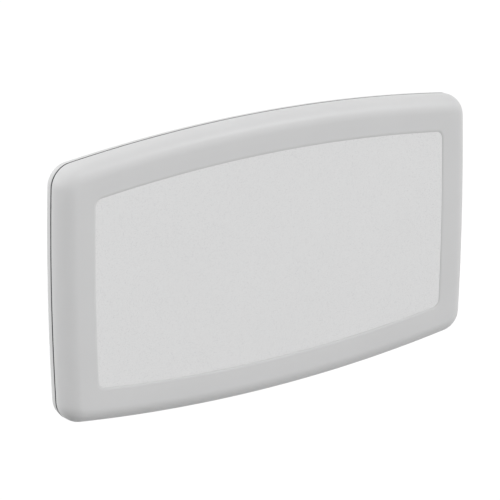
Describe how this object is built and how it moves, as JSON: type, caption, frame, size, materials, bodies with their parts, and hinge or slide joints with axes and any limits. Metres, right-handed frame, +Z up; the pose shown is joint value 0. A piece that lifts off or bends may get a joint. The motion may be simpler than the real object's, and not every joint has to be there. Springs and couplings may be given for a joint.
{
  "type": "baby changing station",
  "caption": "Wall-mounted fold-down baby changing station with a bowed, rounded bed front, recessed speckled panel, hinged tray, safety strap and liner dispensers.",
  "frame": {"origin": "middle of the steel chassis' back face, which rests on the wall", "axes": "+X to the right along the width, +Y into the wall, +Z up"},
  "size_m": [0.94, 0.102, 0.537],
  "materials": {
    "grey_plastic": "smooth moulded polyethylene",
    "speckled_plastic": "light grey with a fine stone speckle",
    "pale_plastic": "smooth moulded polyethylene",
    "dark_plastic": "satin black moulding",
    "steel": "zinc plated sheet and pins",
    "black_steel": "black paint",
    "chrome": "hard chrome rod",
    "rubber": "matt black",
    "webbing": "woven nylon"
  },
  "bodies": {
    "wall_unit": {"mounting_chassis": "steel", "wall_housing": "grey_plastic", "hinge_wall_leaf": "steel", "hinge_pin": "steel", "gas_cylinder_left": "black_steel", "spring_bracket_left": "steel", "spring_pin_left": "steel", "liner_bin_left": "pale_plastic", "bag_hook_left": "pale_plastic", "gas_cylinder_right": "black_steel", "spring_bracket_right": "steel", "spring_pin_right": "steel", "liner_bin_right": "pale_plastic", "bag_hook_right": "pale_plastic", "bumper_1": "rubber", "bumper_2": "rubber", "bumper_3": "rubber", "bumper_4": "rubber", "housing_screw_1": "steel", "housing_screw_2": "steel", "housing_screw_3": "steel", "housing_screw_4": "steel"},
    "bed": {"bed_outer_shell": "grey_plastic", "front_panel": "speckled_plastic", "bed_tray": "pale_plastic", "bed_channel": "steel", "hinge_bed_leaf": "steel", "lift_lever_left": "steel", "lift_lever_right": "steel", "strap_anchor_upper": "steel", "strap_anchor_lower": "steel", "strap_upper": "webbing", "strap_lower": "webbing", "buckle_frame": "dark_plastic", "buckle_pin": "steel", "tray_screw_1": "steel", "tray_screw_2": "steel", "tray_screw_3": "steel", "tray_screw_4": "steel", "tray_screw_5": "steel", "tray_screw_6": "steel", "tray_screw_7": "steel", "tray_screw_8": "steel"},
    "gas_rod_left": {"gas_rod_left": "chrome"},
    "gas_rod_right": {"gas_rod_right": "chrome"},
    "liner_door_left": {"liner_door_left": "pale_plastic"},
    "liner_door_right": {"liner_door_right": "pale_plastic"},
    "buckle_cam": {"buckle_cam": "dark_plastic"}
  },
  "joints": [
    {"name": "bed_hinge", "type": "hinge", "parent": "wall_unit", "child": "bed", "pos_m": [0, -0.0619, -0.2405], "axis": [1, 0, 0], "range_deg": [0, 90], "stiffness_Nm_per_rad": 3, "springref_deg": -68.75},
    {"name": "gas_rod_left_slide", "type": "slide", "parent": "wall_unit", "child": "gas_rod_left", "axis": [0, 0, 1], "range_m": [0, 0.0312]},
    {"name": "gas_rod_right_slide", "type": "slide", "parent": "wall_unit", "child": "gas_rod_right", "axis": [0, 0, 1], "range_m": [0, 0.0312]},
    {"name": "liner_door_left_tilt", "type": "hinge", "parent": "wall_unit", "child": "liner_door_left", "pos_m": [-0.097, -0.0553, -0.006], "axis": [1, 0, 0], "range_deg": [0, 12]},
    {"name": "liner_door_right_tilt", "type": "hinge", "parent": "wall_unit", "child": "liner_door_right", "pos_m": [0.097, -0.0553, -0.006], "axis": [1, 0, 0], "range_deg": [0, 12]},
    {"name": "buckle_cam_lift", "type": "hinge", "parent": "bed", "child": "buckle_cam", "pos_m": [0, -0.0785, -0.04], "axis": [1, 0, 0], "range_deg": [0, 35], "stiffness_Nm_per_rad": 0.05}
  ],
  "couplings": [
    {"joint": "gas_rod_left_slide", "follows": "bed_hinge", "m_per_rad": 0.019748},
    {"joint": "gas_rod_right_slide", "follows": "bed_hinge", "m_per_rad": 0.019748}
  ]
}
